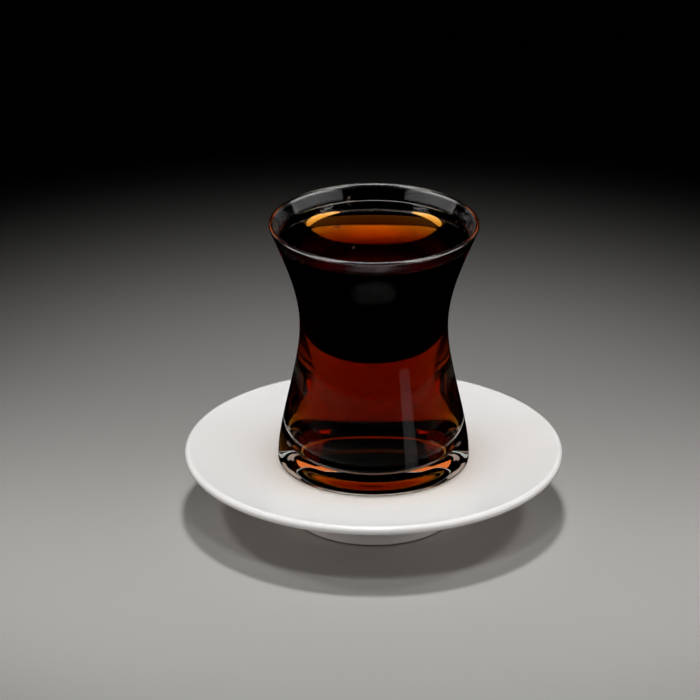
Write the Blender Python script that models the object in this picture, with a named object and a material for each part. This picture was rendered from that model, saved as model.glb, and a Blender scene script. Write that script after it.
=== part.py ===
# A waisted tea glass filled with tea, on a round porcelain saucer with a foot.
# Metres, +Z up. The origin is on the surface under the saucer, on the axis that all three pieces share.

import math

import bpy
import numpy as np

# Driving sizes
SEGMENTS = 48
WALL_STEPS = 15
CONTACT_GAP = 0.0003

# The saucer: stations are (radius, height above the surface it stands on)
SAUCER_RADIUS = 0.0601
SAUCER_RIM_TOP = 0.0225
SAUCER_RIM_ROUND = 0.0014
SAUCER_FLOOR = 0.0184
SAUCER_FLOOR_RADIUS = 0.0320
BRIM_MIDDLE = (0.0460, 0.0196)
BRIM_SLOPE = 15.0
UNDERSIDE = ((0.0460, 0.0152), (0.0350, 0.0108), (0.0286, 0.0065))
UNDERSIDE_SLOPE = 20.0
FOOT_RADIUS = 0.0262
FOOT_WIDTH = 0.0030
FOOT_ROUND = 0.0010
RECESS_WALL = (0.0222, 0.0085)
RECESS_TOP = (0.0172, 0.0130)

# The glass: heights are above its own base
GLASS_BASE = SAUCER_FLOOR + CONTACT_GAP
GLASS_HEIGHT = 0.0810
LIP_ROUND = 0.00075
LIP_RADIUS = 0.0330
LIP_LEAN = 24.0
HEEL_ROUND = 0.0015
HEEL_RADIUS = 0.0303
PUNT_RADIUS = 0.0225
PUNT_SLOPE_WIDTH = 0.0025
PUNT_DEPTH = 0.0008

TEA_LEVEL = 0.0763
TEA_EDGE_CLEARANCE = 0.0006

# Radius at each height of the glass: outside from the lip to the heel, inside from the bottom corner up
OUTER_WALL = ((0.0720, 0.0296), (0.0610, 0.0257), (0.0500, 0.02355), (0.0420, 0.02355), (0.0340, 0.02465),
              (0.0240, 0.0267), (0.0120, 0.0292))
INNER_WALL = ((0.0090, 0.0207), (0.0130, 0.0210), (0.0180, 0.0215), (0.0250, 0.0220), (0.0340, 0.0220),
              (0.0420, 0.0217), (0.0500, 0.0219), (0.0610, 0.0241), (0.0720, 0.0280))
INNER_FLOOR = 0.0038
CORNER_ROUND = 0.0026
CORNER_REACH = 0.0202
CORNER_LEAN = 10.0


def smooth_run(points, first_way, last_way, steps):
    """Points along the cubic spline through the given ones, leaving and arriving in the given ways."""
    knots = np.array(points, dtype=float)
    chord = np.linalg.norm(np.diff(knots, axis=0), axis=1)
    at = np.concatenate(([0.0], np.cumsum(chord)))
    count = len(knots)
    matrix = np.zeros((count, count))
    wanted = np.zeros((count, 2))
    matrix[0, 0] = 1.0
    matrix[-1, -1] = 1.0
    wanted[0] = first_way
    wanted[-1] = last_way
    for i in range(1, count - 1):
        before, after = chord[i - 1], chord[i]
        matrix[i, i - 1] = after
        matrix[i, i] = 2.0 * (before + after)
        matrix[i, i + 1] = before
        wanted[i] = 3.0 * (after * (knots[i] - knots[i - 1]) / before
                           + before * (knots[i + 1] - knots[i]) / after)
    ways = np.linalg.solve(matrix, wanted)
    run = []
    for place in np.linspace(0.0, at[-1], steps + 1):
        i = min(int(np.searchsorted(at, place, side="right")) - 1, count - 2)
        t = (place - at[i]) / chord[i]
        point = ((1 + 2 * t) * (1 - t) ** 2 * knots[i] + t * (1 - t) ** 2 * chord[i] * ways[i]
                 + t * t * (3 - 2 * t) * knots[i + 1] + t * t * (t - 1) * chord[i] * ways[i + 1])
        run.append((float(point[0]), float(point[1])))
    return run


def arc(centre, radius, start, end, steps):
    """Points on a circle in the (radius, height) plane, from one angle in degrees to another."""
    points = []
    for i in range(steps + 1):
        angle = math.radians(start + (end - start) * i / steps)
        points.append((centre[0] + radius * math.cos(angle), centre[1] + radius * math.sin(angle)))
    return points


def round_edge(centre, radius, start, end, quarter_steps):
    """A rounded edge from an upward side to a downward one, with points at its highest and widest places."""
    return joined(arc(centre, radius, start, 90.0, 2), arc(centre, radius, 90.0, 0.0, quarter_steps),
                  arc(centre, radius, 0.0, end, 2))


def joined(*runs):
    """One outline from several runs of points, without the points that two runs share."""
    outline = []
    for run in runs:
        for point in run:
            if not outline or math.dist(outline[-1], point) > 1e-6:
                outline.append(point)
    return outline


def way(angle):
    """The direction at an angle in degrees, in the (radius, height) plane."""
    return (math.cos(math.radians(angle)), math.sin(math.radians(angle)))


def cavity_outline():
    """The inside of the glass from the middle of its bottom up to the lip."""
    lip_centre = (LIP_RADIUS - LIP_ROUND, GLASS_HEIGHT - LIP_ROUND)
    leaning = way(180.0 - LIP_LEAN)
    top = (lip_centre[0] + LIP_ROUND * leaning[0], lip_centre[1] + LIP_ROUND * leaning[1])
    corner_centre = (CORNER_REACH - CORNER_ROUND, INNER_FLOOR + CORNER_ROUND)
    corner = arc(corner_centre, CORNER_ROUND, -90.0, -CORNER_LEAN, 4)
    wall = smooth_run([corner[-1]] + [(r, h) for h, r in INNER_WALL] + [top],
                      way(90.0 - CORNER_LEAN), way(90.0 - LIP_LEAN), WALL_STEPS)
    return joined([(0.0, INNER_FLOOR)], corner, wall)


def glass_outline():
    """The whole section of the glass: cavity, lip, outer wall, heel and the shallow punt under it."""
    lip_centre = (LIP_RADIUS - LIP_ROUND, GLASS_HEIGHT - LIP_ROUND)
    lip = round_edge(lip_centre, LIP_ROUND, 180.0 - LIP_LEAN, -LIP_LEAN, 2)
    heel_centre = (HEEL_RADIUS - HEEL_ROUND, HEEL_ROUND)
    heel = arc(heel_centre, HEEL_ROUND, 0.0, -90.0, 3)
    wall = smooth_run([lip[-1]] + [(r, h) for h, r in OUTER_WALL] + [heel[0]],
                      way(270.0 - LIP_LEAN), way(-90.0), WALL_STEPS)
    punt = [(PUNT_RADIUS, 0.0), (PUNT_RADIUS - PUNT_SLOPE_WIDTH, PUNT_DEPTH), (0.0, PUNT_DEPTH)]
    return joined(cavity_outline(), lip, wall, heel, punt)


def tea_outline():
    """The tea: its level surface, then down its side a small gap inside the glass, then its bottom."""
    cavity = cavity_outline()
    side = []
    for i, (radius, height) in enumerate(cavity):
        before = cavity[max(i - 1, 0)]
        after = cavity[min(i + 1, len(cavity) - 1)]
        along = (after[0] - before[0], after[1] - before[1])
        length = math.hypot(*along)
        inward = (-along[1] / length, along[0] / length)
        side.append((max(radius + CONTACT_GAP * inward[0], 0.0), height + CONTACT_GAP * inward[1]))
    side[0] = (0.0, INNER_FLOOR + CONTACT_GAP)
    below = [point for point in side if point[1] < TEA_LEVEL - TEA_EDGE_CLEARANCE]
    over = side[len(below)]
    share = (TEA_LEVEL - below[-1][1]) / (over[1] - below[-1][1])
    edge = below[-1][0] + share * (over[0] - below[-1][0])
    return joined([(0.0, TEA_LEVEL), (edge, TEA_LEVEL)], below[::-1])


def saucer_outline():
    """The section of the saucer: flat middle, rising brim, round rim, underside, foot ring and recess."""
    rim_centre = (SAUCER_RADIUS - SAUCER_RIM_ROUND, SAUCER_RIM_TOP - SAUCER_RIM_ROUND)
    rim = round_edge(rim_centre, SAUCER_RIM_ROUND, 90.0 + BRIM_SLOPE, UNDERSIDE_SLOPE - 90.0, 3)
    brim = smooth_run([(SAUCER_FLOOR_RADIUS, SAUCER_FLOOR), BRIM_MIDDLE, rim[0]], way(0.0), way(BRIM_SLOPE), 7)
    foot = arc((FOOT_RADIUS - FOOT_ROUND, FOOT_ROUND), FOOT_ROUND, 0.0, -90.0, 3)
    inner_radius = FOOT_RADIUS - FOOT_WIDTH
    foot_inside = arc((inner_radius + FOOT_ROUND, FOOT_ROUND), FOOT_ROUND, -90.0, -180.0, 3)
    underside = smooth_run([rim[-1], *UNDERSIDE, foot[0]], way(180.0 + UNDERSIDE_SLOPE), way(-90.0), 10)
    recess = smooth_run([foot_inside[-1], RECESS_WALL, RECESS_TOP], way(90.0), way(180.0), 6)
    return joined([(0.0, SAUCER_FLOOR)], brim, rim, underside, foot, foot_inside, recess,
                  [(0.0, RECESS_TOP[1])])


def material(name, colour, roughness, metallic=0.0, transmission=0.0, ior=1.5):
    """A Principled material with the piece's colour and finish."""
    finish = bpy.data.materials.new(name)
    finish.use_nodes = True
    shader = finish.node_tree.nodes["Principled BSDF"]
    shader.inputs["Base Color"].default_value = (*colour, 1.0)
    shader.inputs["Roughness"].default_value = roughness
    shader.inputs["Metallic"].default_value = metallic
    shader.inputs["Transmission Weight"].default_value = transmission
    shader.inputs["IOR"].default_value = ior
    finish.diffuse_color = (*colour, 1.0)
    return finish


def turned(name, outline, base, finish):
    """A closed outline from axis to axis, turned about the upright axis and stood at a height."""
    mesh = bpy.data.meshes.new(name)
    rings = [(radius, 0.0, height) for radius, height in outline]
    mesh.from_pydata(rings, [(i, i + 1) for i in range(len(rings) - 1)], [])
    piece = bpy.data.objects.new(name, mesh)
    bpy.context.scene.collection.objects.link(piece)
    piece.location = (0.0, 0.0, base)
    mesh.materials.append(finish)
    screw = piece.modifiers.new("turn", "SCREW")
    screw.axis = "Z"
    screw.steps = SEGMENTS
    screw.render_steps = SEGMENTS
    screw.use_merge_vertices = True
    screw.merge_threshold = 0.00001
    screw.use_smooth_shade = True
    return piece


def clear_scene():
    for old in list(bpy.data.objects):
        bpy.data.objects.remove(old, do_unlink=True)


def build_glass():
    clear = material("clear_glass", (0.93, 0.95, 0.94), 0.02, transmission=1.0, ior=1.5)
    return turned("glass", glass_outline(), GLASS_BASE, clear)


def build_tea():
    brew = material("black_tea", (0.30, 0.05, 0.012), 0.03, transmission=0.6, ior=1.33)
    return turned("tea", tea_outline(), GLASS_BASE, brew)


def build_saucer():
    porcelain = material("white_porcelain", (0.86, 0.86, 0.85), 0.12)
    return turned("saucer", saucer_outline(), 0.0, porcelain)


clear_scene()
build_saucer()
build_glass()
build_tea()
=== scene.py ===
import math

import bpy
import numpy as np
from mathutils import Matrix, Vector


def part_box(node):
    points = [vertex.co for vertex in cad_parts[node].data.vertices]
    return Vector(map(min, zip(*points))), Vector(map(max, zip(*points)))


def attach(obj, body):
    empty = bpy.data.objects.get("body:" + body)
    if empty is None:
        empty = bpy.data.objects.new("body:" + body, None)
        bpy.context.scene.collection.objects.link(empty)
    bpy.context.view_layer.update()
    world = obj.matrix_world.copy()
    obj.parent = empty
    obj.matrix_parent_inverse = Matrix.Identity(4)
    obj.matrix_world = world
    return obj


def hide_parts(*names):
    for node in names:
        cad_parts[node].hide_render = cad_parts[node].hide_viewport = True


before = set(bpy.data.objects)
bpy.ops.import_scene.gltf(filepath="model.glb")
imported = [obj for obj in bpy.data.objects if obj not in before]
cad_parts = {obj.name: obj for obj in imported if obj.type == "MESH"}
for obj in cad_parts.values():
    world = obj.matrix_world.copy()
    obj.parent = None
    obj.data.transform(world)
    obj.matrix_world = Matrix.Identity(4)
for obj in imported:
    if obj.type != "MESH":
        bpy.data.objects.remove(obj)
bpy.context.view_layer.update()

# heights above the floor
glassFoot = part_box("glass")[0].z
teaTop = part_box("tea")[1].z
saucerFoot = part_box("saucer")[0].z
print("frame loaded")


# Outline tools: every outline is a list of (radius, height) points in the section plane

samePlace = 1e-7  # points nearer to each other than this are one
nearAxis = 1e-9  # a smaller radius is on the axis


def smoothRun(points, firstWay, lastWay, steps):
    # a cubic spline through the points, leaving and arriving in the given ways
    knots = np.array(points, dtype=float)
    chord = np.linalg.norm(np.diff(knots, axis=0), axis=1)
    along = np.concatenate(([0.0], np.cumsum(chord)))
    count = len(knots)
    matrix = np.zeros((count, count))
    wanted = np.zeros((count, 2))
    matrix[0, 0] = matrix[-1, -1] = 1.0
    wanted[0] = firstWay
    wanted[-1] = lastWay
    for i in range(1, count - 1):
        before, after = chord[i - 1], chord[i]
        matrix[i, i - 1:i + 2] = after, 2.0 * (before + after), before
        wanted[i] = 3.0 * (after * (knots[i] - knots[i - 1]) / before
                           + before * (knots[i + 1] - knots[i]) / after)
    ways = np.linalg.solve(matrix, wanted)
    run = []
    for place in np.linspace(0.0, along[-1], steps + 1):
        i = min(int(np.searchsorted(along, place, side="right")) - 1, count - 2)
        t = (place - along[i]) / chord[i]
        point = ((1 + 2 * t) * (1 - t) ** 2 * knots[i] + t * (1 - t) ** 2 * chord[i] * ways[i]
                 + t * t * (3 - 2 * t) * knots[i + 1] + t * t * (t - 1) * chord[i] * ways[i + 1])
        run.append((float(point[0]), float(point[1])))
    return run


def wayAt(degrees):
    return (math.cos(math.radians(degrees)), math.sin(math.radians(degrees)))


def arcRun(centre, radius, start, end, steps):
    run = []
    for i in range(steps + 1):
        way = wayAt(start + (end - start) * i / steps)
        run.append((centre[0] + radius * way[0], centre[1] + radius * way[1]))
    return run


def joinRuns(*runs):
    # one outline, without the points that two runs share
    outline = []
    for run in runs:
        for point in run:
            if not outline or math.dist(outline[-1], point) > samePlace:
                outline.append(point)
    return outline


def roundEdge(centre, radius, start, end, steps):
    runs = []
    for here, there in ((start, 90.0), (90.0, 0.0), (0.0, end)):
        runs.append(arcRun(centre, radius, here, there, steps))
    return joinRuns(*runs)


def turnOutline(name, outline, base, sides, marks=None):
    # turns an outline from axis to axis about Z; the outline runs down the outer side
    # marks are named lists of values, one for each outline point, which the materials read
    rings = [point for point in outline if point[0] > nearAxis]
    angles = np.linspace(0.0, 2.0 * math.pi, sides, endpoint=False)
    verts = [(0.0, 0.0, base + outline[0][1])]
    for radius, height in rings:
        verts.extend((radius * math.cos(a), radius * math.sin(a), base + height) for a in angles)
    verts.append((0.0, 0.0, base + outline[-1][1]))
    faces = []
    for j in range(sides):
        k = (j + 1) % sides
        faces.append((0, 1 + j, 1 + k))
        for i in range(len(rings) - 1):
            upper, lower = 1 + i * sides, 1 + (i + 1) * sides
            faces.append((upper + j, lower + j, lower + k, upper + k))
        last = 1 + (len(rings) - 1) * sides
        faces.append((last + j, len(verts) - 1, last + k))
    mesh = bpy.data.meshes.new(name)
    mesh.from_pydata(verts, [], faces)
    mesh.update()
    mesh.shade_smooth()
    for mark, given in (marks or {}).items():
        kept = [value for point, value in zip(outline, given) if point[0] > nearAxis]
        values = [given[0]] + [value for value in kept for a in angles] + [given[-1]]
        mesh.attributes.new(mark, "FLOAT", "POINT").data.foreach_set("value", values)
    piece = bpy.data.objects.new(name, mesh)
    bpy.context.scene.collection.objects.link(piece)
    return piece


# Material tools

white = (1.0, 1.0, 1.0, 1.0)


def newFinish(name):
    finish = bpy.data.materials.new(name)
    finish.use_nodes = True
    nodes = finish.node_tree.nodes
    return finish, nodes, finish.node_tree.links, nodes["Principled BSDF"], nodes["Material Output"]


def noiseAt(nodes, links, scale, detail):
    # noise in the piece's own space, so that it stays on the surface
    place = nodes.new("ShaderNodeTexCoord")
    noise = nodes.new("ShaderNodeTexNoise")
    noise.inputs["Scale"].default_value = scale
    noise.inputs["Detail"].default_value = detail
    links.new(place.outputs["Object"], noise.inputs["Vector"])
    return noise


def stretched(nodes, links, source, low, high, fromLow=0.35, fromHigh=0.65):
    spread = nodes.new("ShaderNodeMapRange")
    spread.inputs["From Min"].default_value = fromLow
    spread.inputs["From Max"].default_value = fromHigh
    spread.inputs["To Min"].default_value = low
    spread.inputs["To Max"].default_value = high
    links.new(source, spread.inputs["Value"])
    return spread.outputs["Result"]


def bumped(nodes, links, shader, height, distance, strength):
    bump = nodes.new("ShaderNodeBump")
    bump.inputs["Distance"].default_value = distance
    bump.inputs["Strength"].default_value = strength
    links.new(height, bump.inputs["Height"])
    links.new(bump.outputs["Normal"], shader.inputs["Normal"])


def markAt(nodes, name):
    mark = nodes.new("ShaderNodeAttribute")
    mark.attribute_name = name
    return mark.outputs["Fac"]


def computed(nodes, links, operation, first, second):
    step = nodes.new("ShaderNodeMath")
    step.operation = operation
    for socket, value in zip(step.inputs, (first, second)):
        if isinstance(value, float):
            socket.default_value = value
        else:
            links.new(value, socket)
    return step.outputs["Value"]


wholeMirror = 0.97  # a Fresnel share over this counts as total reflection


def mirrorsByPlace(nodes, links, shader):
    # the face between glass and tea hardly mirrors, because the two bend light nearly alike,
    # but it mirrors wholly where light inside the glass meets it too flat to get out
    flat = nodes.new("ShaderNodeFresnel")
    flat.inputs["IOR"].default_value = shader.inputs["IOR"].default_value
    whole = computed(nodes, links, "GREATER_THAN", flat.outputs["Fac"], wholeMirror)
    strength = computed(nodes, links, "MAXIMUM", whole, markAt(nodes, "mirrors"))
    links.new(strength, shader.inputs["Specular Tint"])


def letLampsThrough(nodes, links, shader, out, tint):
    # lamps shine through onto what is behind, so that it gets a glow and no black shadow
    path = nodes.new("ShaderNodeLightPath")
    clear = nodes.new("ShaderNodeBsdfTransparent")
    clear.inputs["Color"].default_value = tint
    mix = nodes.new("ShaderNodeMixShader")
    links.new(path.outputs["Is Shadow Ray"], mix.inputs["Fac"])
    links.new(shader.outputs["BSDF"], mix.inputs[1])
    links.new(clear.outputs["BSDF"], mix.inputs[2])
    links.new(mix.outputs["Shader"], out.inputs["Surface"])


# Camera: the photo's angle, with the glass a little right of the middle

cameraSet = {
    "elevation": 23.73,  # degrees above the table
    "distance": 1.70,
    "lens": 277.2,
    "aim": (-0.0075, 0.0, 0.0561),
    "nearest": 0.05,
    "farthest": 20.0,
}


def makeCamera(s):
    lens = bpy.data.cameras.new("camera")
    lens.lens = s["lens"]
    lens.clip_start = s["nearest"]
    lens.clip_end = s["farthest"]
    camera = bpy.data.objects.new("camera", lens)
    bpy.context.scene.collection.objects.link(camera)
    lift = math.radians(s["elevation"])
    back = Vector((0.0, -math.cos(lift), math.sin(lift)))
    camera.location = Vector(s["aim"]) + back * s["distance"]
    camera.rotation_mode = "QUATERNION"
    camera.rotation_quaternion = (-back).to_track_quat("-Z", "Y")
    bpy.context.scene.camera = camera


makeCamera(cameraSet)
print("camera placed")


# Glass

glassSet = {
    "lipRadius": 0.0330,
    "lipRound": 0.00075,
    "lipLean": 24.0,  # how far the wall leans out under the lip, degrees
    "height": 0.0810,
    "heelRadius": 0.0303,
    "heelRound": 0.0015,
    "puntRadius": 0.0225,
    "puntDepth": 0.0008,
    "puntSlope": (0.0015, 0.0085),  # how far the punt's slope runs outside and inside its radius
    "outer": ((0.0720, 0.0296), (0.0610, 0.0257), (0.0500, 0.02355), (0.0420, 0.02355),
              (0.0340, 0.02465), (0.0240, 0.0267), (0.0120, 0.0292)),  # height, radius
    "inner": ((0.0090, 0.0207), (0.0130, 0.0210), (0.0180, 0.0215), (0.0250, 0.0220),
              (0.0340, 0.0220), (0.0420, 0.0217), (0.0500, 0.0219), (0.0610, 0.0241), (0.0720, 0.0280)),
    "floor": 0.0038,
    "cornerRound": 0.0026,  # the inside's bottom corner
    "cornerReach": 0.0202,
    "cornerLean": 10.0,
    "sides": 192,
    "cavitySteps": 90,
    "wallSteps": 80,
    "roundSteps": 8,
    "cornerSteps": 16,
    "wetMirrors": 0.02,  # how much the wall mirrors where tea wets it
    "wetOver": 0.0004,  # the wall is wet this far over the tea's level
    "index": 1.5,
    "smear": 0.012,  # most roughness of the smears
    "smearNoise": (60.0, 3.0),  # scale, detail
    "smearRange": (0.45, 0.75),  # noise values between which the smears set in
    "rippleNoise": (45.0, 1.0),
    "rippleBump": (0.0004, 0.06),  # distance, strength
    "film": 0.08,  # roughness of the damp film inside, above the tea
    "lipGloss": 0.2,  # roughness of the lip's coat
    "lipShine": 2.9,  # the coat's index of refraction: the fire-polished lip shines most
    "bodyColour": (0.55, 0.86, 0.74, 1.0),
    "bodyDensity": 6.0,
    "lampTint": (0.94, 0.95, 0.945, 1.0),
}


def lipCentre(s):
    return (s["lipRadius"] - s["lipRound"], s["height"] - s["lipRound"])


def cavityRun(s):
    # from the middle of the inner bottom up to the lip
    centre = lipCentre(s)
    way = wayAt(180.0 - s["lipLean"])
    top = (centre[0] + s["lipRound"] * way[0], centre[1] + s["lipRound"] * way[1])
    cornerCentre = (s["cornerReach"] - s["cornerRound"], s["floor"] + s["cornerRound"])
    corner = arcRun(cornerCentre, s["cornerRound"], -90.0, -s["cornerLean"], s["cornerSteps"])
    wall = smoothRun([corner[-1]] + [(r, h) for h, r in s["inner"]] + [top],
                     wayAt(90.0 - s["cornerLean"]), wayAt(90.0 - s["lipLean"]), s["cavitySteps"])
    return joinRuns([(0.0, s["floor"])], corner, wall)


def glassOutline(s):
    lip = roundEdge(lipCentre(s), s["lipRound"], 180.0 - s["lipLean"], -s["lipLean"], s["roundSteps"])
    heelCentre = (s["heelRadius"] - s["heelRound"], s["heelRound"])
    heel = arcRun(heelCentre, s["heelRound"], 0.0, -90.0, s["roundSteps"])
    wall = smoothRun([lip[-1]] + [(r, h) for h, r in s["outer"]] + [heel[0]],
                     wayAt(270.0 - s["lipLean"]), wayAt(-90.0), s["wallSteps"])
    outside, inside = s["puntSlope"]
    punt = smoothRun([(s["puntRadius"] + outside, 0.0), (s["puntRadius"] - inside, s["puntDepth"])],
                     wayAt(180.0), wayAt(180.0), s["cornerSteps"])
    return joinRuns(cavityRun(s), lip, wall, heel, punt, [(0.0, s["puntDepth"])])


def clearGlassFinish(s):
    finish, nodes, links, shader, out = newFinish("clearGlass")
    shader.inputs["Base Color"].default_value = white
    shader.inputs["Transmission Weight"].default_value = 1.0
    shader.inputs["IOR"].default_value = s["index"]
    smear = noiseAt(nodes, links, *s["smearNoise"])
    smeared = stretched(nodes, links, smear.outputs["Fac"], 0.0, s["smear"], *s["smearRange"])
    film = computed(nodes, links, "MULTIPLY", markAt(nodes, "film"), s["film"])
    links.new(computed(nodes, links, "ADD", smeared, film), shader.inputs["Roughness"])
    links.new(markAt(nodes, "lip"), shader.inputs["Coat Weight"])
    shader.inputs["Coat Roughness"].default_value = s["lipGloss"]
    shader.inputs["Coat IOR"].default_value = s["lipShine"]
    ripple = noiseAt(nodes, links, *s["rippleNoise"])
    bumped(nodes, links, shader, ripple.outputs["Fac"], *s["rippleBump"])
    mirrorsByPlace(nodes, links, shader)
    letLampsThrough(nodes, links, shader, out, s["lampTint"])
    body = nodes.new("ShaderNodeVolumeAbsorption")
    body.inputs["Color"].default_value = s["bodyColour"]
    body.inputs["Density"].default_value = s["bodyDensity"]
    links.new(body.outputs["Volume"], out.inputs["Volume"])
    return finish


def glassMarks(outline, s, teaLevel):
    # mirrors: 1 in air, little where tea wets the wall
    # film: 1 inside above the tea; lip: 1 on the lip's top
    cavityCount = len(cavityRun(s))
    mirrors, film, lip = [], [], []
    for i, (radius, height) in enumerate(outline):
        wet = i < cavityCount and height < teaLevel + s["wetOver"]
        mirrors.append(s["wetMirrors"] if wet else 1.0)
        film.append(1.0 if i < cavityCount - 2 and not wet else 0.0)  # ends just under the lip
        lip.append(1.0 if height > lipCentre(s)[1] else 0.0)
    return {"mirrors": mirrors, "film": film, "lip": lip}


glassLine = glassOutline(glassSet)
glassShell = turnOutline("glassShell", glassLine, glassFoot, glassSet["sides"],
                         glassMarks(glassLine, glassSet, teaTop - glassFoot))
glassShell.data.materials.append(clearGlassFinish(glassSet))
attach(glassShell, "root")
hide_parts("glass")
print("glass made")


# Tea

teaSet = {
    "level": teaTop - glassFoot,
    "intoWall": 0.00006,  # the liquid reaches this far into the wall, so that no air shows between
    "meniscusRise": 0.0002,
    "meniscusWidth": 0.0007,
    "meniscusReach": 2.2,  # how many widths its curve is drawn over
    "meniscusFall": 0.4,  # share of the width in which it falls to a third
    "meniscusSteps": 24,
    "edgeGap": 0.0002,  # the side's last point stays this far under the liquid's edge
    "levelSlack": 0.00001,
    "index": 1.333,
    "colour": (0.842, 0.575, 0.0, 1.0),
    "density": 310.0,
    "sides": 192,
}


def teaOutline(s, g):
    cavity = cavityRun(g)
    side = []
    for i, (radius, height) in enumerate(cavity):
        before = cavity[max(i - 1, 0)]
        after = cavity[min(i + 1, len(cavity) - 1)]
        way = (after[0] - before[0], after[1] - before[1])
        length = math.hypot(*way)
        side.append((radius + s["intoWall"] * way[1] / length, height - s["intoWall"] * way[0] / length))
    side[0] = (0.0, g["floor"] - s["intoWall"])
    top = s["level"] + s["meniscusRise"]
    below = [point for point in side if point[1] < top - s["edgeGap"]]
    over = side[len(below)]
    share = (top - below[-1][1]) / (over[1] - below[-1][1])
    edge = below[-1][0] + share * (over[0] - below[-1][0])
    surface = []
    for i in range(s["meniscusSteps"] + 1):
        inward = s["meniscusWidth"] * s["meniscusReach"] * (1.0 - i / s["meniscusSteps"])
        rise = s["meniscusRise"] * math.exp(-inward / (s["meniscusWidth"] * s["meniscusFall"]))
        surface.append((edge - inward, s["level"] + rise))
    return joinRuns([(0.0, s["level"]), (edge * 0.5, s["level"])], surface, below[::-1])


def teaFinish(s):
    finish, nodes, links, shader, out = newFinish("blackTea")
    shader.inputs["Base Color"].default_value = white
    shader.inputs["Transmission Weight"].default_value = 1.0
    shader.inputs["IOR"].default_value = s["index"]
    shader.inputs["Roughness"].default_value = 0.0
    mirrorsByPlace(nodes, links, shader)
    letLampsThrough(nodes, links, shader, out, white)
    brew = nodes.new("ShaderNodeVolumeAbsorption")
    brew.inputs["Color"].default_value = s["colour"]
    brew.inputs["Density"].default_value = s["density"]
    links.new(brew.outputs["Volume"], out.inputs["Volume"])
    return finish


def teaMarks(outline, s):
    # mirrors: 1 on the open surface and 0 against the glass
    surface = s["level"] - s["levelSlack"]
    return {"mirrors": [1.0 if height >= surface else 0.0 for radius, height in outline]}


teaLine = teaOutline(teaSet, glassSet)
teaBody = turnOutline("teaBody", teaLine, glassFoot, teaSet["sides"], teaMarks(teaLine, teaSet))
teaBody.data.materials.append(teaFinish(teaSet))
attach(teaBody, "root")
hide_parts("tea")
print("tea poured")


# Drops on the inner wall above the tea, and bubbles on it

beadSet = {
    "drops": ((128.6, 0.07671, 0.00030), (144.8, 0.07712, 0.00034), (164.1, 0.07687, 0.00028),
              (165.2, 0.07764, 0.00040), (108.0, 0.07841, 0.00026), (-121.0, 0.07790, 0.00030),
              (-96.0, 0.07720, 0.00024), (62.0, 0.07760, 0.00028)),  # degrees round, height, radius
    "bubbles": ((-0.0159, 0.0186, 0.00055), (-0.0113, 0.0072, 0.00050), (-0.0121, 0.0069, 0.00034),
                (-0.0063, -0.0093, 0.00036)),  # across, back, radius
    "rings": 6,
    "sides": 14,
    "sunk": 0.35,  # share of a bead's radius that is in what it sits on
    "flat": 0.8,  # how tall a bead is against its width
    "index": 1.333,
    "roughness": 0.03,  # the most
    "toneNoise": (900.0, 1.0),  # scale, detail
    "clearTint": (1.0, 0.97, 0.93, 1.0),
    "warmTint": (0.95, 0.86, 0.74, 1.0),
    "lampTint": (0.9, 0.88, 0.84, 1.0),
}


def wallRadius(height):
    cornerTop = glassSet["floor"] + glassSet["cornerRound"]
    wall = [(h, r) for r, h in cavityRun(glassSet) if h > cornerTop]
    return float(np.interp(height, [h for h, r in wall], [r for h, r in wall]))


def beadCloud(name, beads, s):
    # small closed beads: each has a middle, an outward way and a radius, and is a little flattened
    verts, faces = [], []
    for middle, way, radius in beads:
        first = len(verts)
        side = way.orthogonal().normalized()
        other = way.cross(side)
        verts.append(middle + way * radius * s["flat"])
        for i in range(1, s["rings"]):
            lean = math.pi * i / s["rings"]
            for j in range(s["sides"]):
                turn = 2.0 * math.pi * j / s["sides"]
                out = side * math.cos(turn) + other * math.sin(turn)
                spread = out * radius * math.sin(lean)
                verts.append(middle + spread + way * radius * s["flat"] * math.cos(lean))
        verts.append(middle - way * radius * s["flat"])
        last = len(verts) - 1
        for j in range(s["sides"]):
            k = (j + 1) % s["sides"]
            faces.append((first, first + 1 + j, first + 1 + k))
            for i in range(s["rings"] - 2):
                upper, lower = first + 1 + i * s["sides"], first + 1 + (i + 1) * s["sides"]
                faces.append((upper + j, lower + j, lower + k, upper + k))
            low = last - s["sides"]
            faces.append((low + j, last, low + k))
    mesh = bpy.data.meshes.new(name)
    mesh.from_pydata(verts, [], faces)
    mesh.update()
    mesh.shade_smooth()
    piece = bpy.data.objects.new(name, mesh)
    bpy.context.scene.collection.objects.link(piece)
    return piece


def dropPlaces(s):
    places = []
    for around, height, radius in s["drops"]:
        out = Vector((-math.sin(math.radians(around)), -math.cos(math.radians(around)), 0.0))
        reach = wallRadius(height) - radius * (1.0 - s["sunk"])
        places.append((out * reach + Vector((0.0, 0.0, glassFoot + height)), -out, radius))
    return places


def bubblePlaces(s):
    up = Vector((0.0, 0.0, 1.0))
    places = []
    for x, y, radius in s["bubbles"]:
        places.append((Vector((x, y, teaTop + radius * (s["flat"] - s["sunk"]))), up, radius))
    return places


def beadFinish(s):
    finish, nodes, links, shader, out = newFinish("waterBead")
    shader.inputs["Transmission Weight"].default_value = 1.0
    shader.inputs["IOR"].default_value = s["index"]
    tone = noiseAt(nodes, links, *s["toneNoise"])
    tint = nodes.new("ShaderNodeMix")
    tint.data_type = "RGBA"
    tint.inputs["A"].default_value = s["clearTint"]
    tint.inputs["B"].default_value = s["warmTint"]
    links.new(tone.outputs["Fac"], tint.inputs["Factor"])
    links.new(tint.outputs["Result"], shader.inputs["Base Color"])
    dulled = stretched(nodes, links, tone.outputs["Fac"], 0.0, s["roughness"])
    links.new(dulled, shader.inputs["Roughness"])
    letLampsThrough(nodes, links, shader, out, s["lampTint"])
    return finish


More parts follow.
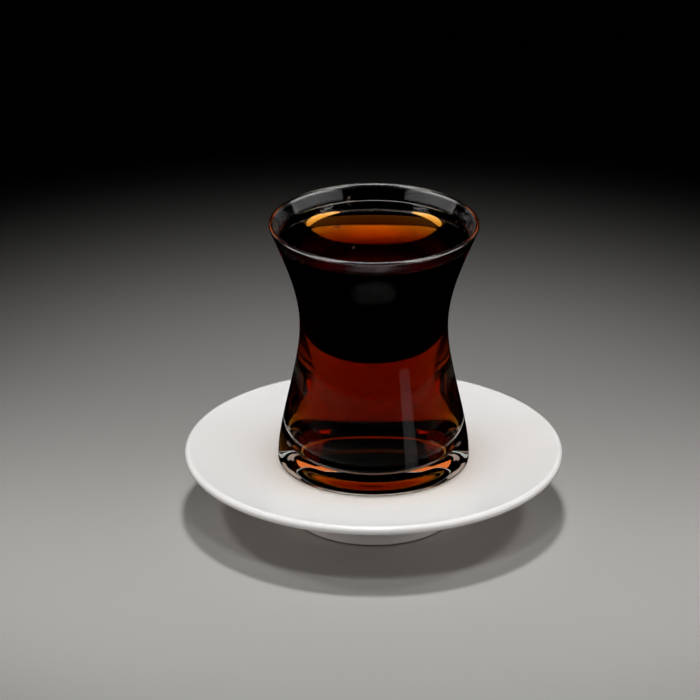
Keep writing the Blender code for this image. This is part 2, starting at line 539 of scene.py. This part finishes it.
wetFinish = beadFinish(beadSet)
wallDrops = beadCloud("wallDrops", dropPlaces(beadSet), beadSet)
surfaceBubbles = beadCloud("surfaceBubbles", bubblePlaces(beadSet), beadSet)
for beads in (wallDrops, surfaceBubbles):
    beads.data.materials.append(wetFinish)
    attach(beads, "root")
print("drops and bubbles made")


# Saucer

saucerSet = {
    "radius": 0.0601,
    "rimTop": 0.0225,
    "rimRound": 0.0014,
    "floor": 0.0184,
    "floorRadius": 0.0320,
    "brimMiddle": (0.0460, 0.0196),  # radius, height
    "brimSlope": 15.0,  # degrees, at the rim
    "underside": ((0.0460, 0.0152), (0.0350, 0.0108), (0.0286, 0.0065)),
    "undersideSlope": 20.0,
    "footRadius": 0.0262,
    "footWidth": 0.0030,
    "footRound": 0.0010,
    "recessWall": (0.0222, 0.0085),
    "recessTop": (0.0172, 0.0130),
    "sides": 256,
    "rimSteps": 8,
    "brimSteps": 40,
    "footSteps": 6,
    "undersideSteps": 50,
    "recessSteps": 24,
    "index": 1.52,
    "toneNoise": (35.0, 3.0),  # scale, detail
    "peelNoise": (260.0, 2.0),
    "peelBump": (0.0001, 0.08),  # distance, strength
    "paleTone": (0.80, 0.795, 0.785, 1.0),
    "whiteTone": (0.84, 0.835, 0.83, 1.0),
    "roughness": 0.1,
}


def saucerOutline(s):
    rim = roundEdge((s["radius"] - s["rimRound"], s["rimTop"] - s["rimRound"]), s["rimRound"],
                    90.0 + s["brimSlope"], s["undersideSlope"] - 90.0, s["rimSteps"])
    brim = smoothRun([(s["floorRadius"], s["floor"]), s["brimMiddle"], rim[0]],
                     wayAt(0.0), wayAt(s["brimSlope"]), s["brimSteps"])
    bend = s["footRound"]
    inside = s["footRadius"] - s["footWidth"]
    foot = arcRun((s["footRadius"] - bend, bend), bend, 0.0, -90.0, s["footSteps"])
    footInside = arcRun((inside + bend, bend), bend, -90.0, -180.0, s["footSteps"])
    underside = smoothRun([rim[-1], *s["underside"], foot[0]],
                          wayAt(180.0 + s["undersideSlope"]), wayAt(-90.0), s["undersideSteps"])
    recess = smoothRun([footInside[-1], s["recessWall"], s["recessTop"]],
                       wayAt(90.0), wayAt(180.0), s["recessSteps"])
    return joinRuns([(0.0, s["floor"])], brim, rim, underside, foot, footInside, recess,
                    [(0.0, s["recessTop"][1])])


def porcelainFinish(s):
    finish, nodes, links, shader, out = newFinish("whitePorcelain")
    shader.inputs["Roughness"].default_value = s["roughness"]
    shader.inputs["IOR"].default_value = s["index"]
    tone = noiseAt(nodes, links, *s["toneNoise"])
    mix = nodes.new("ShaderNodeMix")
    mix.data_type = "RGBA"
    mix.inputs["A"].default_value = s["paleTone"]
    mix.inputs["B"].default_value = s["whiteTone"]
    links.new(tone.outputs["Fac"], mix.inputs["Factor"])
    links.new(mix.outputs["Result"], shader.inputs["Base Color"])
    peel = noiseAt(nodes, links, *s["peelNoise"])
    bumped(nodes, links, shader, peel.outputs["Fac"], *s["peelBump"])
    return finish


saucerBody = turnOutline("saucerBody", saucerOutline(saucerSet), saucerFoot, saucerSet["sides"])
saucerBody.data.materials.append(porcelainFinish(saucerSet))
saucerBody.visible_glossy = False  # the outer faces of the glass don't mirror it
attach(saucerBody, "root")
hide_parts("saucer")
print("saucer made")


# Floor and light

floorSet = {
    "size": 6.0,
    "drop": 0.0002,  # how far it lies under the foot
    "colour": (0.72, 0.70, 0.67, 1.0),
    "roughness": 0.75,
}


def makeFloor(s):
    half = s["size"] / 2.0
    corners = [(-half, -half), (half, -half), (half, half), (-half, half)]
    mesh = bpy.data.meshes.new("floor")
    mesh.from_pydata([(x, y, -s["drop"]) for x, y in corners], [], [(0, 1, 2, 3)])
    mesh.update()
    floor = bpy.data.objects.new("floor", mesh)
    bpy.context.scene.collection.objects.link(floor)
    finish, nodes, links, shader, out = newFinish("paleFloor")
    shader.inputs["Base Color"].default_value = s["colour"]
    shader.inputs["Roughness"].default_value = s["roughness"]
    mesh.materials.append(finish)
    floor.visible_glossy = False  # the glass neither mirrors the floor nor shows it bent
    floor.visible_transmission = False
    return floor


# pools of light on the floor round the saucer; farther back it stays dim
poolSoftness = 0.07
pools = [
    {"name": "overPool", "at": (0.0, 0.02, 1.10), "to": (0.0, 0.0, 0.0),
     "watts": 16.0, "cone": 27.0, "both": False},
    {"name": "sidePool", "at": (0.40, -0.06, 0.56), "to": (0.15, -0.05, 0.0),
     "watts": 4.5, "cone": 26.0, "both": True},
    {"name": "frontPool", "at": (0.0, -0.45, 0.70), "to": (0.0, -0.18, 0.0),
     "watts": 6.0, "cone": 30.0, "both": False},
]
# soft boxes a metre off, in degrees round from the front and up from the table
# onto: what they light; bent: whether they show through glass; mirrored: whether surfaces mirror them
boxMiddle = (0.0, 0.0, 0.06)
softBoxes = [
    {"name": "topBox", "around": 0.0, "up": 90.0, "size": (0.30, 0.30),
     "watts": 0.41, "spread": 50.0, "onto": "chinaware", "both": False},
    {"name": "lipBox", "around": 0.0, "up": 90.0, "size": (1.60, 0.22),
     "watts": 4.6, "spread": 180.0, "both": False},
    {"name": "frontBox", "around": 0.0, "up": 60.0, "size": (0.40, 0.30),
     "watts": 0.20, "spread": 50.0, "onto": "chinaware", "both": False},
    {"name": "sideBox", "around": 74.0, "up": 19.0, "size": (1.30, 0.38),
     "watts": 0.95, "spread": 120.0, "bent": False, "both": True},
    {"name": "lowSideBox", "around": 74.0, "up": 5.0, "size": (1.20, 0.25),
     "watts": 0.46, "spread": 120.0, "colour": (1.0, 0.74, 0.68), "bent": False, "both": True},
    {"name": "cornerBox", "around": 45.0, "up": 45.0, "size": (0.30, 0.30),
     "watts": 0.06, "spread": 50.0, "both": True},
    {"name": "rearBox", "around": 135.0, "up": 15.0, "size": (0.30, 0.25),
     "watts": 0.010, "spread": 50.0, "colour": (1.0, 0.70, 0.62), "both": True},
    {"name": "glowBox", "around": 156.0, "up": 26.0, "size": (0.30, 0.26),
     "watts": 0.24, "spread": 180.0, "colour": (1.0, 0.20, 0.045), "onto": "glassware",
     "both": True},
    {"name": "baseBox", "around": 180.0, "up": 9.0, "size": (0.90, 0.16),
     "watts": 0.42, "spread": 180.0, "colour": (1.0, 0.75, 0.65), "onto": "glassware",
     "mirrored": False, "both": False},
    {"name": "slimBox", "around": 45.0, "up": 0.0, "size": (0.28, 0.45),
     "watts": 0.010, "spread": 50.0, "both": False},
]
# low lamps that face up just behind the saucer: two bright curves and a dim band in the tea
lowLamps = [
    {"name": "curve", "at": (0.0240, 0.0803, 0.001), "turn": -20.5, "size": (0.042, 0.0055),
     "watts": 0.0009, "colour": (1.0, 0.86, 0.58), "both": True},
    {"name": "band", "at": (0.0, 0.0775, 0.001), "turn": 0.0, "size": (0.11, 0.012),
     "watts": 0.00034, "colour": (1.0, 0.8, 0.6), "both": False},
]


def linkLight(name, data, at, lit):
    light = bpy.data.objects.new(name, data)
    bpy.context.scene.collection.objects.link(light)
    light.location = at
    light.rotation_mode = "QUATERNION"
    light.visible_camera = False
    light.light_linking.receiver_collection = lit
    return light


def aimLight(light, target):
    light.rotation_quaternion = (Vector(target) - light.location).to_track_quat("-Z", "Y")


def makePool(s, lit):
    for side in (-1.0, 1.0) if s["both"] else (1.0,):
        data = bpy.data.lights.new(s["name"], "SPOT")
        data.energy = s["watts"]
        data.spot_size = math.radians(s["cone"])
        data.spot_blend = 1.0
        data.shadow_soft_size = poolSoftness
        light = linkLight(s["name"], data, (side * s["at"][0], s["at"][1], s["at"][2]), lit)
        aimLight(light, (side * s["to"][0], s["to"][1], s["to"][2]))


def makeSoftBox(s, groups):
    lit = groups[s.get("onto", "tableware")]
    middle = Vector(boxMiddle)
    for side in (-1.0, 1.0) if s["both"] else (1.0,):
        data = bpy.data.lights.new(s["name"], "AREA")
        data.shape = "RECTANGLE"
        data.size, data.size_y = s["size"]
        data.energy = s["watts"]
        data.spread = math.radians(s["spread"])
        data.color = s.get("colour", (1.0, 1.0, 1.0))
        around, up = math.radians(side * s["around"]), math.radians(s["up"])
        flat = math.cos(up)
        way = Vector((math.sin(around) * flat, -math.cos(around) * flat, math.sin(up)))
        box = linkLight(s["name"], data, middle + way, lit)
        box.visible_transmission = s.get("bent", True)
        box.visible_glossy = s.get("mirrored", True)
        aimLight(box, middle)


def makeLowLamp(s, lit):
    for side in (-1.0, 1.0) if s["both"] else (1.0,):
        data = bpy.data.lights.new(s["name"], "AREA")
        data.shape = "ELLIPSE"
        data.size, data.size_y = s["size"]
        data.energy = s["watts"]
        data.color = s["colour"]
        light = linkLight(s["name"], data, (side * s["at"][0], s["at"][1], s["at"][2]), lit)
        light.visible_glossy = False
        light.rotation_mode = "XYZ"
        light.rotation_euler = (math.pi, 0.0, side * math.radians(s["turn"]))


def setWorld():
    world = bpy.data.worlds.new("studio")
    bpy.context.scene.world = world
    world.use_nodes = True
    back = world.node_tree.nodes["Background"]
    back.inputs["Color"].default_value = (0.0, 0.0, 0.0, 1.0)
    back.inputs["Strength"].default_value = 1.0


# what the lights shine onto
glassware = (glassShell, teaBody, wallDrops, surfaceBubbles)
members = {
    "glassware": glassware,
    "chinaware": (saucerBody,),
    "tableware": glassware + (saucerBody,),
    "ground": (makeFloor(floorSet),),
}
groups = {}
for groupName, pieces in members.items():
    groups[groupName] = bpy.data.collections.new(groupName)
    for piece in pieces:
        groups[groupName].objects.link(piece)
for poolSet in pools:
    makePool(poolSet, groups["ground"])
for boxSet in softBoxes:
    makeSoftBox(boxSet, groups)
for lampSet in lowLamps:
    makeLowLamp(lampSet, groups["tableware"])
setWorld()
lightBounces = 24  # many, because light crosses the glass and the tea several times
look = bpy.context.scene
look.view_settings.view_transform = "Standard"
look.view_settings.look = "None"
look.cycles.max_bounces = lightBounces
# what lamps send through the glass is set by letLampsThrough
look.cycles.caustics_reflective = False
look.cycles.caustics_refractive = False
look.cycles.transmission_bounces = lightBounces
look.cycles.transparent_max_bounces = lightBounces
print("stage lit")
